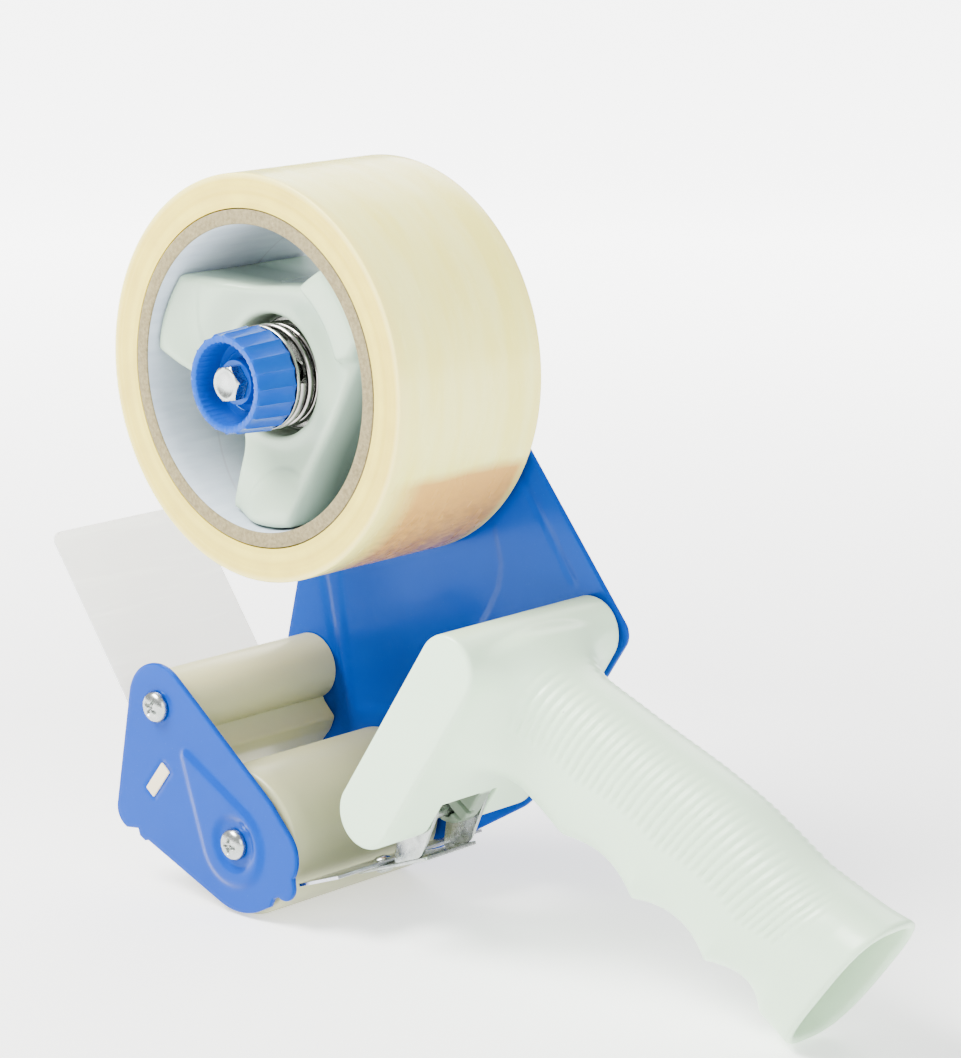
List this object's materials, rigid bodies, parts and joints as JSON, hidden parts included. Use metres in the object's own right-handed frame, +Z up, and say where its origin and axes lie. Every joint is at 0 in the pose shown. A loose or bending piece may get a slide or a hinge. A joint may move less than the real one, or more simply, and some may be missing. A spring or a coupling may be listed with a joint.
{
  "type": "tape gun dispenser",
  "caption": "Hand-held packing tape dispenser with pistol grip, tape roll on a braked hub, press roller, clear flap and toothed blade between two side plates.",
  "frame": {"origin": "middle of the whole object's box, on the surface that the roller and the grip's end stand on", "axes": "+X from the flap at the front to the grip at the rear, +Y across the tape from the knob's side to the large plate, +Z up"},
  "size_m": [0.259, 0.0684, 0.1888],
  "materials": {
    "blue_paint": "glossy powder coat",
    "blue_plastic": "moulded, slightly glossy",
    "pale_plastic": "moulded, satin to glossy",
    "roller_plastic": "moulded, satin",
    "zinc": "bright zinc plating",
    "spring_steel": "polished wire",
    "tape": "wound clear film with cream adhesive",
    "cardboard": "grey paperboard",
    "clear_film": "clear stiff film",
    "felt": "pressed felt"
  },
  "bodies": {
    "frame": {"side_plate_large": "blue_paint", "side_plate_small": "blue_paint", "guide_screw_near": "zinc", "guide_screw_far": "zinc", "axle_screw_near": "zinc", "axle_screw_far": "zinc", "handle_screw_upper": "zinc", "handle_screw_lower": "zinc", "guide_block": "roller_plastic", "flap_root": "clear_film", "roller_axle": "zinc", "hub_post": "zinc", "post_nut": "zinc", "brake_washer": "felt", "brake_spring": "spring_steel", "handle": "pale_plastic", "bracket_pin": "zinc", "bracket_spring": "spring_steel"},
    "tape_reel": {"tape_hub": "pale_plastic", "tape_core": "cardboard", "tape_roll": "tape", "spring_seat_washer": "zinc"},
    "roller": {"roller_sleeve": "roller_plastic", "roller_bush_near": "roller_plastic", "roller_bush_far": "roller_plastic"},
    "tension_slide": {"thrust_washer": "zinc"},
    "tension_knob": {"tension_knob": "blue_plastic", "axle_bolt": "zinc"},
    "blade_lever": {"blade_bracket": "zinc", "blade": "zinc", "blade_rivet_near": "zinc", "blade_rivet_far": "zinc"},
    "flap": {"clear_flap": "clear_film"}
  },
  "joints": [
    {"name": "reel_spin", "type": "hinge", "parent": "frame", "child": "tape_reel", "pos_m": [-0.0515, 0, 0.1382], "axis": [0, 1, 0], "continuous": true},
    {"name": "roller_spin", "type": "hinge", "parent": "frame", "child": "roller", "pos_m": [-0.0561, 0, 0.01905], "axis": [0, 1, 0], "continuous": true},
    {"name": "tension_travel", "type": "slide", "parent": "frame", "child": "tension_slide", "axis": [0, 1, 0], "range_m": [0, 0.0016], "deforming": ["brake_spring"]},
    {"name": "tension_turn", "type": "hinge", "parent": "tension_slide", "child": "tension_knob", "pos_m": [-0.0515, 0, 0.1382], "axis": [0, 1, 0], "range_deg": [0, 721]},
    {"name": "blade_swing", "type": "hinge", "parent": "frame", "child": "blade_lever", "pos_m": [-0.0131, 0, 0.03], "axis": [0, 1, 0], "range_deg": [-10, 0], "stiffness_Nm_per_rad": 0.1, "springref_deg": 28.65, "deforming": ["bracket_spring"]},
    {"name": "flap_flex", "type": "hinge", "parent": "frame", "child": "flap", "pos_m": [-0.0909, 0, 0.03438], "axis": [0, 1, 0], "range_deg": [-20, 20], "stiffness_Nm_per_rad": 0.05}
  ],
  "couplings": [
    {"joint": "tension_turn", "follows": "tension_travel", "rad_per_m": 7854}
  ]
}
